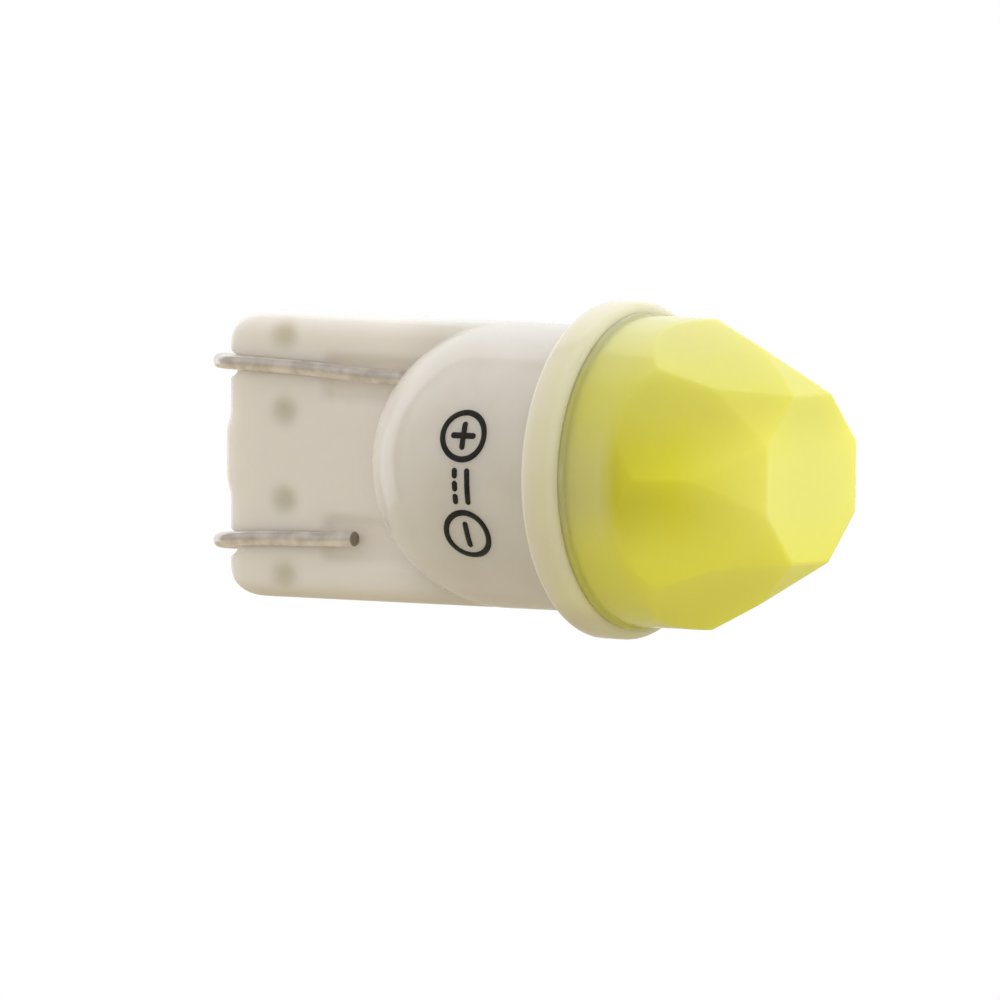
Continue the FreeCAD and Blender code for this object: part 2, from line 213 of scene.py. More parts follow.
def blade_section():
    """Points (y, z) round the blade's section, a rectangle with rounded edges. They are
    close together where the leads lie, and elsewhere 3 degrees or about 0.1 mm apart."""
    height = blade_top - blade_edge
    fine = np.arange(0.0, math.pi / 2.0, math.radians(3.0))
    z = blade_half * np.tan(fine)
    z = np.concatenate([z[z < 1.1 * MM], np.arange(1.15 * MM, 2.1 * MM, 0.12 * MM),
                        np.arange(2.15 * MM, 3.2 * MM, 0.045 * MM), np.arange(3.25 * MM, height, 0.1 * MM)])
    face = np.concatenate([-z[:0:-1], z])
    arc = np.linspace(0.0, math.pi / 2.0, 9)
    flat = np.linspace(-1.0, 1.0, 9)[1:-1] * (blade_half - blade_edge)
    arc_y = blade_half - blade_edge + blade_edge * np.cos(arc)
    arc_z = height + blade_edge * np.sin(arc)
    y = np.concatenate([np.full_like(face, -blade_half), -arc_y, flat, arc_y[::-1],
                        np.full_like(face, blade_half), arc_y, -flat, -arc_y[::-1]])
    z = np.concatenate([face, arc_z, np.full_like(flat, blade_top), arc_z[::-1],
                        face[::-1], -arc_z, np.full_like(flat, -blade_top), -arc_z[::-1]])
    return y, z


def housing_grid():
    """Rows of points from the middle of the blade's end to the bottom of the bore.

    Blade: the section, whose rows follow the end's outline at first and are thinner within the
    nose, by the quarter circle of its radius. The dips fade inside the dome. Barrel: at each x the
    point is moved outwards along its own radius to the circle of the dome or barrel, where that is
    larger. Beyond, the profile of collar, spigot and bore is turned about the axis."""
    y, z = blade_section()
    near = y < 0.0
    u = np.concatenate([np.zeros(3), blade_nose * (1.0 - np.cos(np.linspace(0.0, math.pi / 2.0, 9)[1:])),
                        np.linspace(blade_nose, 1.0 * MM, 6)[1:]])
    u = np.concatenate([u, np.arange(1.1 * MM, end_depth, 0.1 * MM), [end_depth]])
    z_end = z * np.concatenate([end_shrink, np.ones(len(u) - 2)])[:, None]
    end = blade_end(z_end)
    x_end = end + (end_zone - end) * (u / u[-1])[:, None]
    x_flat = np.arange(end_zone + 0.09 * MM, -7.95 * MM, 0.09 * MM)
    dome = np.linspace(0.0, math.pi / 2.0, 70)
    x_dome = -barrel_length - barrel_radius * np.cos(dome)
    x_straight = np.concatenate([x_flat, x_dome])[:, None] + 0.0 * z[None, :]
    x = np.concatenate([x_end, x_straight])
    z_rows = np.concatenate([z_end, z + 0.0 * x_straight])
    inwards = np.concatenate([x_end - end, 1.0 * MM + 0.0 * x_straight])
    from_end = np.clip(inwards, 0.0, blade_nose)
    rounding = np.sqrt(np.clip(blade_nose ** 2 - (blade_nose - from_end) ** 2, 0.0, None))
    thin = blade_half - blade_nose + rounding
    squeeze = thin / blade_half
    squeeze[0] = 0.0
    squeeze[1] *= 0.5
    past_barrel = np.clip(-barrel_length - x, 0.0, barrel_radius)
    ball = np.sqrt(barrel_radius ** 2 - past_barrel ** 2)
    dip = blade_dip(x, z_rows, np.broadcast_to(near, x.shape)) * smooth_step(0.0, dip_fade, inwards)
    dip = dip * smooth_step(0.5, 1.0, np.abs(y) / blade_half)
    dip = dip * smooth_step(-0.3 * MM, 0.0, np.hypot(y * squeeze, z_rows) - ball)
    y_rows = np.sign(y) * np.clip(np.abs(y) * squeeze - dip, 0.0, None)
    radius = np.hypot(y_rows, z_rows)
    blend = root_blend * smooth_step(*root_fade, -x) + 0.002 * MM
    grown = np.where(ball > 0.0, smooth_max(radius, ball, blend), radius)
    settled = smooth_step(-dome_settle, 0.0, x + barrel_length)
    grown = grown + (ball - grown) * settled
    scale = grown / np.maximum(radius, 1e-9)
    outer = np.stack([x, y_rows * scale, z_rows * scale], axis=-1)
    profile = rounded_profile(
        [(-barrel_length, barrel_radius), (0.0, barrel_radius), (0.0, collar_radius),
         (collar_height, collar_radius), (collar_height, spigot_radius), (spigot_top, spigot_radius),
         (spigot_top, board_seat_radius), (ledge_height, board_seat_radius), (ledge_height, bore_radius),
         (-bore_depth, bore_radius), (-bore_depth, 0.0)],
        [r * MM for r in (0.15, 0.24, 0.32, 0.05, 0.12, 0.12, 0.04, 0.05, 0.3)])
    profile = evenly(profile, 0.35 * MM)[1:]
    angle = np.arctan2(outer[-1, :, 2], outer[-1, :, 1])
    turned = np.stack([profile[:, :1] + 0.0 * angle, profile[:, 1:] * np.cos(angle),
                       profile[:, 1:] * np.sin(angle)], axis=-1)
    return np.concatenate([outer, turned])


def node_adder(tree):
    """A function that adds a node to the tree and sets its sockets or properties by name."""

    def add(kind, **values):
        node = tree.nodes.new("ShaderNode" + kind)
        for key, value in values.items():
            if key in node.inputs.keys():
                node.inputs[key].default_value = value
            else:
                setattr(node, key, value)
        return node

    return add


def new_material(name, **finish):
    """An empty node material, with the shader's values by socket name: its node tree, its shader
    and the function that adds a node."""
    material = bpy.data.materials.new(name)
    material.use_nodes = True
    tree = material.node_tree
    shader = tree.nodes["Principled BSDF"]
    for socket, value in finish.items():
        shader.inputs[socket.replace("_", " ")].default_value = value
    return material, tree, shader, node_adder(tree)


def fed(tree, value, socket):
    """Links a socket's value into another socket, or sets a plain value there."""
    if isinstance(value, bpy.types.NodeSocket):
        tree.links.new(value, socket)
    else:
        socket.default_value = value


def mapped(tree, add, source, low, high, to_low=0.0, to_high=1.0, soft=False):
    """The source, brought from low and high to to_low and to_high and held between them."""
    node = add("MapRange", interpolation_type="SMOOTHSTEP" if soft else "LINEAR")
    for name, value in (("Value", source), ("From Min", low), ("From Max", high),
                        ("To Min", to_low), ("To Max", to_high)):
        fed(tree, value, node.inputs[name])
    return node.outputs["Result"]


def joined(tree, add, operation, *values):
    """Values joined by one arithmetic operation."""
    node = add("Math", operation=operation)
    for value, socket in zip(values, node.inputs):
        fed(tree, value, socket)
    return node.outputs["Value"]


def mixed(tree, add, factor, one, other, blend="MIX"):
    """A colour between one and other, each a socket or a colour, by the factor."""
    node = add("Mix", data_type="RGBA", blend_type=blend)
    for value, socket in ((factor, node.inputs["Factor"]), (one, node.inputs[6]), (other, node.inputs[7])):
        fed(tree, (*value, 1.0) if isinstance(value, tuple) else value, socket)
    return node.outputs[2]


def own_axes(tree, add):
    """The object's own coordinates: as a vector, and its x, y and z."""
    where = add("TexCoord").outputs["Object"]
    split = add("SeparateXYZ")
    tree.links.new(where, split.inputs["Vector"])
    return where, split.outputs["X"], split.outputs["Y"], split.outputs["Z"]


def mottled(tree, add, shader, light, dark, size, bump):
    """Colour that drifts between two tones, and a fine bump, both by noise over the object's own
    coordinates. size and bump are in metres."""
    where = add("TexCoord")
    noise = add("TexNoise", Scale=1.0 / size, Detail=3.0)
    ramp = add("ValToRGB")
    ramp.color_ramp.elements[0].position = 0.35
    ramp.color_ramp.elements[1].position = 0.65
    ramp.color_ramp.elements[0].color = (*dark, 1.0)
    ramp.color_ramp.elements[1].color = (*light, 1.0)
    grain = add("TexNoise", Scale=6.0 / size, Detail=2.0)
    relief = add("Bump", Strength=1.0, Distance=bump)
    for texture in (noise, grain):
        tree.links.new(where.outputs["Object"], texture.inputs["Vector"])
    tree.links.new(noise.outputs["Fac"], ramp.inputs["Fac"])
    tree.links.new(grain.outputs["Fac"], relief.inputs["Height"])
    tree.links.new(relief.outputs["Normal"], shader.inputs["Normal"])
    tree.links.new(ramp.outputs["Color"], shader.inputs["Base Color"])
    return ramp.outputs["Color"]


def spread(tree, add, fac, stops):
    """The colour that a ramp of stops has at a factor from 0 to 1."""
    ramp = add("ValToRGB")
    elements = ramp.color_ramp.elements
    while len(elements) < len(stops):
        elements.new(0.5)
    for element, (position, shade) in zip(elements, stops):
        element.position = position
        element.color = (*shade, 1.0)
    tree.links.new(fac, ramp.inputs["Fac"])
    return ramp.outputs["Color"]


def milky_plastic():
    """Unpigmented polycarbonate: off-white, glossy from the mould, and light passes some way into
    it. The thin blade is paler, with painted shade in its dents. The collar has the lens's yellow
    light painted on, most of it at the bottom, and the whole underside has painted shade."""
    material, tree, shader, add = new_material(
        "milky_polycarbonate", Roughness=0.11, IOR=1.5, Subsurface_Weight=0.65,
        Subsurface_Radius=(1.0, 0.9, 0.7), Subsurface_Scale=1.4 * MM)
    colour = mottled(tree, add, shader, (0.72, 0.70, 0.665), (0.69, 0.67, 0.62), 1.6 * MM, 0.0008 * MM)
    _, x, _, z = own_axes(tree, add)
    folded = add("CombineXYZ")
    tree.links.new(x, folded.inputs["X"])
    tree.links.new(joined(tree, add, "ABSOLUTE", z), folded.inputs["Z"])
    # Painted shade in the blade's dents: a greyer tone, strongest at each dent's middle.
    away = []
    for dent_height in dent_heights:
        distance = add("VectorMath", operation="DISTANCE")
        distance.inputs[1].default_value = (dent_x, 0.0, dent_height)
        tree.links.new(folded.outputs["Vector"], distance.inputs[0])
        away.append(distance.outputs["Value"])
    nearest = joined(tree, add, "MINIMUM", *away)
    # Painted light: the lens's yellow light bounced onto the collar, laid on as colour and strongest at the
    # bottom.
    painted_lens_light_amount = mapped(tree, add, z, -2.0 * MM, -5.0 * MM, 0.5, 0.85, soft=True)
    for factor, tone in (
            (mapped(tree, add, x, -4.6 * MM, -7.8 * MM, soft=True), (0.83, 0.81, 0.785)),
            (mapped(tree, add, nearest, 0.1 * MM, 0.8 * MM, 1.0, 0.0, soft=True), (0.69, 0.67, 0.59)),
            (mapped(tree, add, x, -0.5 * MM, collar_height, 0.0, painted_lens_light_amount, soft=True), (0.88, 0.86, 0.46)),
            # Painted shade: the underside darker and browner.
            (mapped(tree, add, z, -3.7 * MM, -4.75 * MM, 0.0, 0.55, soft=True), (0.56, 0.53, 0.38))):
        colour = mixed(tree, add, factor, colour, tone)
    tree.links.new(colour, shader.inputs["Base Color"])
    return material


housing = closed_piece("housing_moulding", [grid_faces(housing_grid())], milky_plastic())
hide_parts("housing")

# Print: a polarity mark on the barrel's near side. It is pad-printed in thick glossy black ink,
# whose strokes stand a little proud as beads with rounded ends.

ink_half = 0.10 * MM
ink_height = 0.03 * MM
ink_sunk = 0.02 * MM
mark_x = -2.65 * MM
mark_drop = 0.35 * MM
ring_radius = 0.76 * MM
ring_place = 1.62 * MM
sign_arm = 0.36 * MM
bar_half = 0.49 * MM
bar_raise = 0.23 * MM
dash_half = 0.075 * MM
dash_places = (-0.415 * MM, 0.0, 0.415 * MM)


def ink_stroke(line, ring=False, thick=1.0):
    """A bead of ink along a line of (across, up) points. Its section is half an ellipse above the
    plastic and a flatter half below. At an open end its width closes as a quarter circle. Across
    runs round the barrel as an arc, angle = across / radius, and up runs along the axis."""
    tangent = np.roll(line, -1, 0) - np.roll(line, 1, 0) if ring else np.gradient(line, axis=0)
    width = np.ones(len(line))
    if not ring:
        close = np.linspace(0.0, math.pi / 2.0, 7)[1:, None]
        ends = [line[k] + tangent[k] / np.linalg.norm(tangent[k]) * side * ink_half * np.sin(close)
                for k, side in ((0, -1.0), (-1, 1.0))]
        line = np.concatenate([ends[0][::-1], line, ends[1]])
        tangent = np.concatenate([np.repeat(tangent[:1], 6, 0), tangent, np.repeat(tangent[-1:], 6, 0)])
        width = np.concatenate([np.cos(close[::-1, 0]), width, np.cos(close[:, 0])])
    tangent = tangent / np.linalg.norm(tangent, axis=1, keepdims=True)
    normal = np.stack([-tangent[:, 1], tangent[:, 0]], axis=-1)
    turn = np.linspace(0.0, 2.0 * math.pi, 14, endpoint=False)
    flat = line[:, None] + normal[:, None] * (ink_half * width[:, None] * np.cos(turn))[..., None]
    rise = np.where(turn < math.pi, ink_height * thick, ink_sunk) * np.sin(turn) * width[:, None]
    angle = (flat[..., 0] + mark_drop) / barrel_radius
    radius = barrel_radius + rise
    bead = np.stack([mark_x + flat[..., 1], -radius * np.cos(angle), -radius * np.sin(angle)], axis=-1)
    return grid_faces(bead, ring)


def straight(start, end, count=14):
    """Evenly spaced points from start to end."""
    return np.linspace(start, end, count)


def glossy_ink():
    """Black ink that dried glossy: nearly black, with a fine unevenness."""
    material, tree, shader, add = new_material("glossy_black_ink", Roughness=0.12, Specular_IOR_Level=0.3)
    mottled(tree, add, shader, (0.022, 0.021, 0.022), (0.010, 0.010, 0.012), 0.25 * MM, 0.004 * MM)
    return material


around = np.linspace(0.0, 2.0 * math.pi, 72, endpoint=False)
circle = ring_radius * np.stack([np.cos(around), np.sin(around)], axis=-1)
strokes = [ink_stroke(circle + np.array([side * ring_place, 0.0]), ring=True) for side in (-1.0, 1.0)]
strokes += [ink_stroke(straight((side * ring_place - sign_arm, 0.0), (side * ring_place + sign_arm, 0.0)))
            for side in (-1.0, 1.0)]
strokes += [ink_stroke(straight((-ring_place, -sign_arm), (-ring_place, sign_arm)), thick=0.9)]
strokes += [ink_stroke(straight((-bar_half, bar_raise), (bar_half, bar_raise)))]
strokes += [ink_stroke(straight((place - dash_half, -bar_raise), (place + dash_half, -bar_raise), 5))
            for place in dash_places]
closed_piece("polarity_print", strokes, glossy_ink())

# Leads: two tinned copper wires. Each is soldered through the board, comes out of the barrel's
# dome on one face of the blade, folds round the blade's end in its notch, and runs back on the
# other face, where it was cut with pliers. The socket's springs press on them.

lead_low, lead_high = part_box("lead_wire_a")
lead_reach = lead_low.x
lead_end = lead_high.x
lead_bend_radius = 6.0 * MM
lead_wave = 0.018 * MM
lead_lump = 0.005 * MM
lead_skin = 0.006 * MM


def lead_path(count=560):
    """Points along the lead's middle line and the way there: level, a slight bend, straight on,
    a half circle round the blade's end, and straight back."""
    along = np.array([-math.cos(lead_tilt), 0.0, math.sin(lead_tilt)])
    across = np.array([0.0, 1.0, 0.0])
    start = np.array([lead_end, -lead_side, lead_height])
    corner = np.array([lead_bend_x, -lead_side, lead_height])
    turn_x = lead_reach + lead_side * math.cos(lead_tilt) + lead_radius
    fold = corner + along * (corner[0] - turn_x) / math.cos(lead_tilt)
    back = fold + across * 2.0 * lead_side
    stop = back - along * (lead_tail_x - turn_x) / math.cos(lead_tilt)
    soft = lead_bend_radius * math.tan(lead_tilt / 2.0)
    level = np.array([-1.0, 0.0, 0.0])
    t = np.linspace(0.0, 1.0, 12)[:, None]
    before, after = corner - level * soft, corner + along * soft
    bend = (1 - t) ** 2 * before + 2 * t * (1 - t) * corner + t ** 2 * after
    half = np.linspace(0.0, math.pi, 60)[:, None]
    middle = fold + across * lead_side
    hairpin = middle - across * lead_side * np.cos(half) + along * lead_side * np.sin(half)
    level_run = np.linspace(start, bend[0], 30)[:-1]
    line = np.concatenate([level_run, bend, hairpin, stop[None]])
    line[:, 2] += lead_line(line[:, 0], -line[:, 1] / lead_side) - lead_line(line[:, 0])
    length = np.concatenate([[0.0], np.cumsum(np.linalg.norm(np.diff(line, axis=0), axis=1))])
    s = np.linspace(0.0, length[-1], count)
    path = np.stack([np.interp(s, length, line[:, k]) for k in range(3)], axis=-1)
    return path, s


def lead_grid(seed):
    """A tube along the path: circles across its tangent, with the tin's uneven skin as a few
    long waves of the radius, and ends whose last rows shrink to a point. The cut end is bevelled."""
    path, s = lead_path()
    outside = smooth_step(0.0, 1.0 * MM, lead_bend_x - path[:, 0])
    path[:, 2] += lead_wave * np.sin(s / (0.9 * MM) + seed) * outside
    tangent = np.gradient(path, axis=0)
    tangent /= np.linalg.norm(tangent, axis=1, keepdims=True)
    side = np.array([math.sin(lead_tilt), 0.0, math.cos(lead_tilt)])
    side = side - tangent * (tangent @ side)[:, None]
    side /= np.linalg.norm(side, axis=1, keepdims=True)
    other = np.cross(tangent, side)
    turn = np.linspace(0.0, 2.0 * math.pi, 28, endpoint=False)
    way = s[:, None]
    lumps = (0.5 * np.sin(way / (0.53 * MM) + seed) * np.cos(turn - seed)
             + 0.5 * np.sin(way / (1.31 * MM) + 2.0 * seed)) * lead_lump
    lumps = lumps * smooth_step(0.0, 0.4 * MM, lead_bend_x - path[:, 0])[:, None]
    radius = lead_radius - lead_skin + lumps
    spokes = np.cos(turn)[None, :, None] * side[:, None] + np.sin(turn)[None, :, None] * other[:, None]
    tube = path[:, None] + spokes * radius[..., None]
    shrink = np.array([0.0, 0.55, 0.9])[:, None, None]
    first = path[0] + (tube[0] - path[0]) * shrink
    last = path[-1] + (tube[-1] - path[-1]) * shrink[::-1]
    last = last + tangent[-1] * np.array([0.02, 0.03, 0.035])[::-1, None, None] * MM
    return np.concatenate([first, tube, last])


def tinned_wire():
    """Copper wire in a dull coat of tin: grey metal with soft streaks, and darker where the tail
    was cut. The tails lie where y and z have the same sign."""
    material, tree, shader, add = new_material("tinned_wire", Metallic=1.0, Roughness=0.36)
    coat = mottled(tree, add, shader, (0.96, 0.91, 0.87), (0.74, 0.69, 0.64), 0.5 * MM, 0.0012 * MM)
    _, x, y, z = own_axes(tree, add)
    on_tail = joined(tree, add, "GREATER_THAN", joined(tree, add, "MULTIPLY", y, z), 0.0)
    at_cut = mapped(tree, add, x, lead_tail_x - 0.06 * MM, lead_tail_x - 0.01 * MM)
    cut = joined(tree, add, "MULTIPLY", at_cut, on_tail)
    tree.links.new(mixed(tree, add, cut, coat, (0.30, 0.27, 0.22)), shader.inputs["Base Color"])
    return material


wire_coat = tinned_wire()
lead_grids = (lead_grid(0.6), lead_grid(2.3) * np.array([1.0, -1.0, -1.0]))
for mark, grid in zip("ab", lead_grids):
    lead = closed_piece("lead_" + mark, [grid_faces(grid)], wire_coat)
    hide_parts("lead_wire_" + mark)

# Board: a round white circuit board on the ledge in the spigot. The leads come up through it and
# are soldered on its face in low shiny cones.


def dressed(names, material, edge):
    """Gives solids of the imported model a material, and their sharp edges a small round."""
    for name in names:
        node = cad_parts[name]
        node.material_slots[0].material = material
        weld = node.modifiers.new("weld", "WELD")
        weld.merge_threshold = 1e-7
        bevel = node.modifiers.new("edge", "BEVEL")
        bevel.width = edge
        bevel.segments = 2
        bevel.limit_method = "ANGLE"


def small_part(name, light, dark, size, bump, **finish):
    """The finish of a part inside the lens: two tones that drift, and a fine relief."""
    material, tree, shader, add = new_material(name, **finish)
    mottled(tree, add, shader, light, dark, size, bump)
    return material


def banded(material, along, low, high, stops):
    """Lays bands of colour across a part, from low to high along one of its axes, 1 to 3."""
    tree = material.node_tree
    add = node_adder(tree)
    part = mapped(tree, add, own_axes(tree, add)[along], low, high)
    tree.links.new(spread(tree, add, part, stops), tree.nodes["Principled BSDF"].inputs["Base Color"])


solder_resist = small_part("white_solder_resist", (0.80, 0.80, 0.76), (0.74, 0.74, 0.70),
                           0.3 * MM, 0.006 * MM, Roughness=0.32)
bright_solder = small_part("bright_solder", (0.74, 0.74, 0.76), (0.55, 0.55, 0.58),
                           0.2 * MM, 0.010 * MM, Roughness=0.18, Metallic=1.0)
dressed(["circuit_board"], solder_resist, 0.04 * MM)
dressed(["solder_joint_a", "solder_joint_b"], bright_solder, 0.03 * MM)

# Lamps: two surface-mounted LEDs side by side. Each is a white moulded frame on two plated
# contacts, with a small die under yellow phosphor that fills the frame's cup.

white_frame = small_part("white_moulded_frame", (0.86, 0.86, 0.82), (0.80, 0.80, 0.75),
                         0.4 * MM, 0.003 * MM, Roughness=0.42)
plated_copper = small_part("plated_copper", (0.82, 0.66, 0.44), (0.66, 0.52, 0.34),
                           0.15 * MM, 0.003 * MM, Roughness=0.26, Metallic=1.0)
phosphor_gel = small_part("phosphor_gel", (0.90, 0.68, 0.10), (0.82, 0.58, 0.07), 0.12 * MM, 0.002 * MM,
                          Roughness=0.22, Subsurface_Weight=0.4, Subsurface_Scale=0.2 * MM)
sapphire_die = small_part("sapphire_die", (0.14, 0.19, 0.30), (0.08, 0.11, 0.19),
                          0.10 * MM, 0.001 * MM, Roughness=0.12)
for lamp in ("led_1_", "led_2_"):
    dressed([lamp + "frame"], white_frame, 0.05 * MM)
    dressed([lamp + "phosphor"], phosphor_gel, 0.03 * MM)
    dressed([lamp + "die"], sapphire_die, 0.01 * MM)
    dressed([lamp + "anode", lamp + "cathode"], plated_copper, 0.02 * MM)

# Resistors and diode: chip parts beside the lamps. A resistor is white alumina with a black glaze
# on top and tinned end caps. The diode is black epoxy with a pale band, on two bent tabs.

tinned_cap = small_part("tinned_cap", (0.76, 0.76, 0.78), (0.60, 0.60, 0.62),
                        0.12 * MM, 0.005 * MM, Roughness=0.28, Metallic=1.0)
chip_ceramic = small_part("glazed_alumina", (0.80, 0.80, 0.78), (0.74, 0.74, 0.72),
                          0.2 * MM, 0.003 * MM, Roughness=0.30)
black_epoxy = small_part("black_epoxy", (0.030, 0.030, 0.032), (0.018, 0.018, 0.020),
                         0.1 * MM, 0.004 * MM, Roughness=0.45)
chip_low, chip_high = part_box("resistor_1_body")
banded(chip_ceramic, 1, chip_low.x, chip_high.x,
       ((0.0, (0.80, 0.80, 0.78)), (0.78, (0.76, 0.76, 0.74)), (0.82, (0.03, 0.03, 0.035)),
        (1.0, (0.02, 0.02, 0.025))))
diode_low, diode_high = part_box("diode_body")
along_z = diode_high.z - diode_low.z > diode_high.y - diode_low.y
banded(black_epoxy, 3 if along_z else 2, diode_low.z if along_z else diode_low.y,
       diode_high.z if along_z else diode_high.y,
       ((0.0, (0.02, 0.02, 0.022)), (0.70, (0.03, 0.03, 0.032)), (0.73, (0.60, 0.60, 0.58)),
        (0.84, (0.60, 0.60, 0.58)), (0.87, (0.03, 0.03, 0.032))))
for chip in ("resistor_1_", "resistor_2_"):
    dressed([chip + "body"], chip_ceramic, 0.03 * MM)
    dressed([chip + "cap_a", chip + "cap_b"], tinned_cap, 0.03 * MM)
dressed(["diode_body"], black_epoxy, 0.04 * MM)
dressed(["diode_tab_a", "diode_tab_b"], tinned_cap, 0.02 * MM)

# Lens: a hollow moulding of translucent yellow silicone, pushed over the spigot down to the
# collar. Its skirt is round. Its crown is cut like a gem: eight flat facets rise from the skirt,
# eight triangles lie between their tops, and a flat table closes it.

lens_low, lens_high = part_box("lens")
lens_radius = lens_high.z
lens_top = lens_high.x
lens_bore = 4.35 * MM
lens_shelf = 3.7 * MM
lens_crown_bore = 1.9 * MM
lens_crown_wall = 1.2 * MM
lens_turn = math.radians(1.8)
table_apothem = 2.67 * MM
star_depth = 1.83 * MM
ridge_depth = 3.6 * MM
facet_blend = 0.018 * MM
mould_line = 0.27 * MM
mould_line_half = 0.04 * MM
mould_line_dip = 0.002
rim_bead = 0.05 * MM
rim_bead_half = 0.14 * MM
rim_bead_rise = 0.024
rim_zone = 1.2 * MM
lens_columns = 448


def lens_planes():
    """Every flat face as its outward normal and its distance from the lens's middle point.

    A facet at slope s and apothem a at the table is the plane r cos(turn) + s x = a + s top. The
    main facets pass through the table's corners and reach the skirt's radius at the ridge depth.
    The star facets pass through the table's sides and end on the ridges at the star depth."""
    eighth = math.pi / 4.0
    cos = math.cos(eighth / 2.0)
    table_corner = table_apothem / cos
    main_slope = (lens_radius * cos - table_corner) / ridge_depth
    star_tip = (table_corner + main_slope * star_depth) / cos
    star_slope = (star_tip - table_apothem) / star_depth
    turns = lens_turn + eighth * np.arange(8)
    normals, reach = [(1.0, 0.0, 0.0), (-1.0, 0.0, 0.0)], [lens_top - lens_middle, lens_middle - lens_low.x]
    for apothem, slope, azimuths in ((table_corner, main_slope, turns + eighth / 2.0),
                                     (table_apothem, star_slope, turns)):
        length = math.hypot(1.0, slope)
        for azimuth in azimuths:
            normals.append((slope / length, -math.cos(azimuth) / length, math.sin(azimuth) / length))
            reach.append((apothem + slope * (lens_top - lens_middle)) / length)
    return np.array(normals), np.array(reach)


def lens_grid():
    """Rays from a middle point on the axis meet the nearest of all planes and of the round
    skirt. The nearest is a soft minimum, minus blend times log of the sum of exp(-distance /
    blend), which rounds every edge alike. Near the rim the skirt has a low round bead and, above
    it, the mould's parting line. The inside is a profile turned about the axis."""
    normals, reach = lens_planes()
    turn = np.linspace(0.0, 2.0 * math.pi, lens_columns, endpoint=False)
    last = math.atan2(lens_bore, lens_low.x - lens_middle)

    def outside(tilt, turn):
        aside = np.sin(tilt)
        ray = np.stack([np.cos(tilt) + 0.0 * turn, -aside * np.cos(turn), aside * np.sin(turn)], axis=-1)
        toward = ray @ normals.T
        flat = np.where(toward > 1e-6, reach / np.maximum(toward, 1e-6), 1.0)
        round_wall = lens_radius / np.maximum(aside + 0.0 * turn, 1e-6)
        ways = np.concatenate([flat, round_wall[..., None]], axis=-1)
        nearest = ways.min(axis=-1, keepdims=True)
        soft = nearest[..., 0] - facet_blend * np.log(np.exp(-(ways - nearest) / facet_blend).sum(axis=-1))
        return ray * soft[..., None] + np.array([lens_middle, 0.0, 0.0])

    fine = np.linspace(0.0, last, 4000)[:, None]
    meridian = outside(fine, np.array([[lens_turn]]))[:, 0]
    along = np.concatenate([[0.0], np.cumsum(np.linalg.norm(np.diff(meridian, axis=0), axis=1))])
    stations = np.concatenate([np.linspace(0.0, along[-1] - rim_zone, 150)[:-1],
                               np.linspace(along[-1] - rim_zone, along[-1], 48)])
    tilt = np.interp(stations, along, fine[:, 0])[:, None]
    outer = outside(tilt, turn[None, :])
    height = outer[..., 0] - lens_low.x
    line = np.exp(-((height - mould_line) / mould_line_half) ** 2)
    bead = np.sqrt(np.clip(1.0 - ((height - rim_bead) / rim_bead_half) ** 2, 0.0, 1.0))
    outer[..., 1:] *= 1.0 + (rim_bead_rise * bead - mould_line_dip * line)[..., None]
    shelf = spigot_top + 0.05 * MM
    profile = rounded_profile(
        [(lens_low.x, lens_bore), (shelf, lens_bore), (shelf, lens_shelf),
         (lens_top - lens_crown_wall, lens_crown_bore), (lens_top - lens_crown_wall, 0.0)],
        [0.05 * MM, 0.05 * MM, 0.3 * MM])
    profile = evenly(profile, 0.3 * MM)
    inner = np.stack([profile[:, :1] + 0.0 * turn, -profile[:, 1:] * np.cos(turn),
                      profile[:, 1:] * np.sin(turn)], axis=-1)
    return np.concatenate([outer, inner[1:]])


def yellow_silicone():
    """Translucent yellow silicone: deep yellow in the solid crown, and paler round the skirt,
    where the white spigot stands close behind a thin wall. A bright band at the rim and the paling
    towards the table are painted light. Away from the middle height light is painted too:
    clear yellow below and pale above."""
    material, tree, shader, add = new_material(
        "yellow_silicone", Roughness=0.11, IOR=1.42, Subsurface_Weight=0.75,
        Subsurface_Radius=(1.0, 0.95, 0.3), Subsurface_Scale=1.8 * MM)
    where, x, _, z = own_axes(tree, add)
    noise = add("TexNoise", Scale=1.0 / (1.4 * MM), Detail=3.0)
    grain = add("TexNoise", Scale=1.0 / (0.35 * MM), Detail=2.0)
    relief = add("Bump", Strength=1.0, Distance=0.003 * MM)
    drift = joined(tree, add, "MULTIPLY_ADD", noise.outputs["Fac"], 0.35 * MM, x)
    # Colour along the axis: a bright band of painted light at the rim, the paler skirt, deep yellow in the
    # crown, and paling towards the table, which is painted light.
    crown = spread(tree, add, mapped(tree, add, drift, lens_low.x, lens_top),
                   ((0.0, (0.99, 0.97, 0.34)), (0.034, (0.97, 0.95, 0.32)), (0.05, (0.70, 0.68, 0.20)),
                    (0.06, (0.71, 0.69, 0.24)), (0.25, (0.74, 0.72, 0.24)), (0.35, (0.655, 0.64, 0.05)),
                    (0.62, (0.79, 0.775, 0.055)), (1.0, (0.98, 0.97, 0.20))))
    # Painted light by height: clear yellow below and pale above, taking over away from the middle height.
    through = spread(tree, add, mapped(tree, add, z, -lens_radius, lens_radius),
                     ((0.0, (1.0, 0.99, 0.10)), (0.45, (1.0, 0.98, 0.14)), (0.55, (0.76, 0.75, 0.11)),
                      (0.8, (0.74, 0.735, 0.16)), (1.0, (0.81, 0.80, 0.36))))
    painted_light_share = mapped(tree, add, joined(tree, add, "ABSOLUTE", z), 0.4 * MM, 2.7 * MM, 0.0, 0.85, soft=True)
    link = tree.links.new
    link(where, noise.inputs["Vector"])
    link(where, grain.inputs["Vector"])
    link(grain.outputs["Fac"], relief.inputs["Height"])
    link(relief.outputs["Normal"], shader.inputs["Normal"])
    link(mixed(tree, add, painted_light_share, crown, through), shader.inputs["Base Color"])
    return material


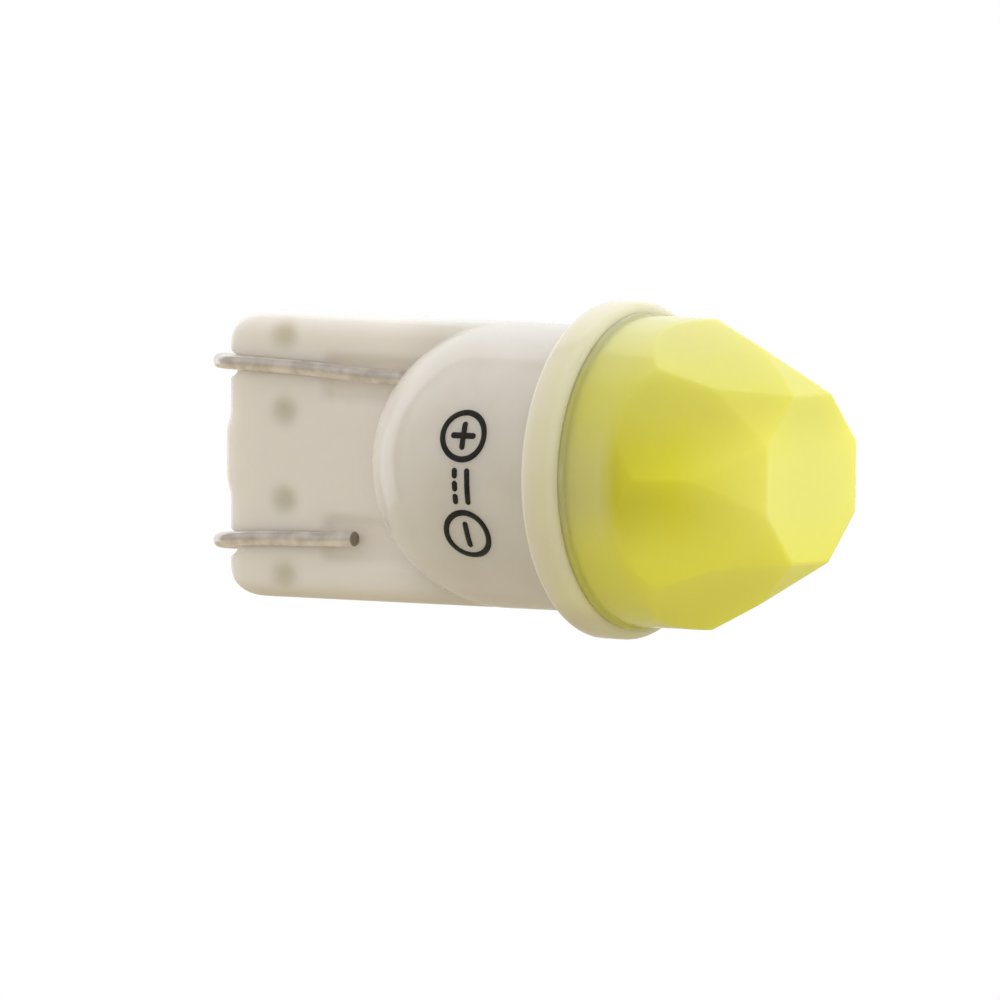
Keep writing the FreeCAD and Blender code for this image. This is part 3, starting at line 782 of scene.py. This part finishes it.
lens_middle = (lens_low.x + lens_top) / 2.0 - 0.9 * MM
lens = closed_piece("lens_moulding", [grid_faces(lens_grid())], yellow_silicone())
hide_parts("lens")

# Light, floor and camera: a light tent that is open towards the camera, with one large soft
# light overhead. The floor lies well below the bulb, because the bulb is held by its socket.

photo_size = 1000.0
floor_height = -45.0 * MM
floor_half = 0.15
tent_opening = (0.10, -0.978, 0.18)
tent_strength = 1.04
camera_distance = 0.2
pixels_per_metre = 31648.0
azimuth = math.radians(31.76)
elevation = math.radians(4.60)
rim_pixel = (641.27, 470.92)
rim_point = np.array([collar_height, 0.0, 0.0])
right = np.array([math.cos(azimuth), math.sin(azimuth), 0.0])
back = np.array([math.sin(azimuth) * math.cos(elevation), -math.cos(azimuth) * math.cos(elevation),
                 math.sin(elevation)])
up = np.cross(back, right)
aim = (rim_point + right * (photo_size / 2.0 - rim_pixel[0]) / pixels_per_metre
       + up * (rim_pixel[1] - photo_size / 2.0) / pixels_per_metre)


def placed(thing, place, x_axis, y_axis, z_axis):
    """Puts a camera or lamp at a place, with its own axes along these directions."""
    columns = np.stack([x_axis, y_axis, z_axis, place], axis=-1)
    thing.matrix_world = Matrix([*columns.tolist(), (0.0, 0.0, 0.0, 1.0)])


camera_data = bpy.data.cameras.new("camera")
camera_data.type = "ORTHO"
camera_data.ortho_scale = photo_size / pixels_per_metre
camera_data.clip_start = 0.001
camera_data.clip_end = 5.0
camera = bpy.data.objects.new("camera", camera_data)
bpy.context.scene.collection.objects.link(camera)
placed(camera, aim + back * camera_distance, right, up, back)
bpy.context.scene.camera = camera


def in_view(tree, add, path):
    """1 for the rays that show a thing to the camera, also through clear material, and 0 for others."""
    return joined(tree, add, "MAXIMUM", path.outputs["Is Camera Ray"], path.outputs["Is Transmission Ray"])


def lit_world():
    """The tent: white where it is seen. Its light is dimmer and warmer from the camera's side,
    where the tent is open, and from below. A mirroring surface sees white cloth behind the bulb,
    the dark seam where the cloth ends, and the dim opening in front."""
    world = bpy.data.worlds.new("tent")
    world.use_nodes = True
    bpy.context.scene.world = world
    tree = world.node_tree
    add = node_adder(tree)
    link = tree.links.new
    seen = tree.nodes["Background"]
    seen.inputs["Color"].default_value = (1.0, 1.0, 1.0, 1.0)
    where = add("TexCoord")
    toward = add("VectorMath", operation="DOT_PRODUCT")
    toward.inputs[1].default_value = tent_opening
    split = add("SeparateXYZ")
    link(where.outputs["Generated"], toward.inputs[0])
    link(where.outputs["Generated"], split.inputs["Vector"])
    path = add("LightPath")
    glossy = path.outputs["Is Glossy Ray"]
    facing = toward.outputs["Value"]
    front = mapped(tree, add, facing, -1.0, 1.0)
    round_about = spread(tree, add, front, ((0.0, (0.98, 0.98, 1.0)), (0.5, (0.95, 0.94, 0.94)),
                                            (0.75, (0.88, 0.84, 0.79)), (1.0, (0.80, 0.76, 0.70))))
    from_floor = spread(tree, add, mapped(tree, add, split.outputs["Z"], -0.7, 0.4),
                        ((0.0, (0.68, 0.60, 0.44)), (1.0, (1.0, 1.0, 1.0))))
    levels = ((0.470, 1.0), (0.485, 0.12), (0.550, 0.12), (0.600, 0.6), (1.0, 0.6))
    seam = spread(tree, add, front, [(place, (level,) * 3) for place, level in levels])
    strength = add("Mix", data_type="FLOAT")
    strength.inputs[2].default_value = tent_strength
    link(glossy, strength.inputs["Factor"])
    link(seam, strength.inputs[3])
    glow = add("Background")
    link(mixed(tree, add, 1.0, round_about, from_floor, "MULTIPLY"), glow.inputs["Color"])
    link(strength.outputs[0], glow.inputs["Strength"])
    mirrored = joined(tree, add, "MULTIPLY", glossy, mapped(tree, add, facing, -0.035, -0.055))
    mix = add("MixShader")
    link(joined(tree, add, "MAXIMUM", in_view(tree, add, path), mirrored), mix.inputs["Fac"])
    link(glow.outputs["Background"], mix.inputs[1])
    link(seen.outputs["Background"], mix.inputs[2])
    link(mix.outputs["Shader"], tree.nodes["World Output"].inputs["Surface"])


def soft_light(name, toward, distance, width, height, power):
    """A rectangular white lamp in a direction from the bulb, facing it. It has no mirror image,
    because the tent's cloth hangs before it."""
    z_axis = np.array(toward, float) / np.linalg.norm(toward)
    x_axis = np.cross(up, z_axis)
    x_axis /= np.linalg.norm(x_axis)
    data = bpy.data.lights.new(name, "AREA")
    data.shape = "RECTANGLE"
    data.size = width
    data.size_y = height
    data.energy = power
    lamp = bpy.data.objects.new(name, data)
    lamp.visible_glossy = False
    bpy.context.scene.collection.objects.link(lamp)
    placed(lamp, z_axis * distance, x_axis, np.cross(z_axis, x_axis), z_axis)


def studio_floor():
    """A pale level floor: a square grid whose height is a wave of 0.1 mm along x times one along
    y. It gives back less light than it shows, because the table in the photo is small."""
    step = np.linspace(-floor_half, floor_half, 25)
    x, y = np.meshgrid(step, step, indexing="ij")
    z = floor_height + 0.1 * MM * np.sin(x / 0.05) * np.cos(y / 0.04)
    index = np.arange(x.size).reshape(x.shape)
    quads = np.stack([index[:-1, :-1], index[1:, :-1], index[1:, 1:], index[:-1, 1:]], axis=-1)
    mesh = bpy.data.meshes.new("studio_floor")
    mesh.from_pydata(np.stack([x, y, z], -1).reshape(-1, 3), [], quads.reshape(-1, 4).tolist())
    mesh.shade_smooth()
    material, tree, shader, add = new_material("pale_floor", Roughness=0.6)
    paint = mottled(tree, add, shader, (0.78, 0.77, 0.74), (0.75, 0.74, 0.71), 20.0 * MM, 0.02 * MM)
    seen = in_view(tree, add, add("LightPath"))
    tree.links.new(mixed(tree, add, seen, (0.50, 0.455, 0.35), paint), shader.inputs["Base Color"])
    mesh.materials.append(material)
    floor = bpy.data.objects.new("studio_floor", mesh)
    bpy.context.scene.collection.objects.link(floor)


lit_world()
studio_floor()
soft_light("overhead", 0.83 * up - 0.55 * back - 0.1 * right, 0.12, 0.17, 0.10, 0.066)
soft_light("from_the_right", (0.95, 0.1, 0.15), 0.14, 0.10, 0.10, 0.032)
soft_light("from_the_left", (-0.95, -0.2, -0.05), 0.16, 0.10, 0.10, 0.026)

bpy.context.scene.view_settings.view_transform = "Standard"
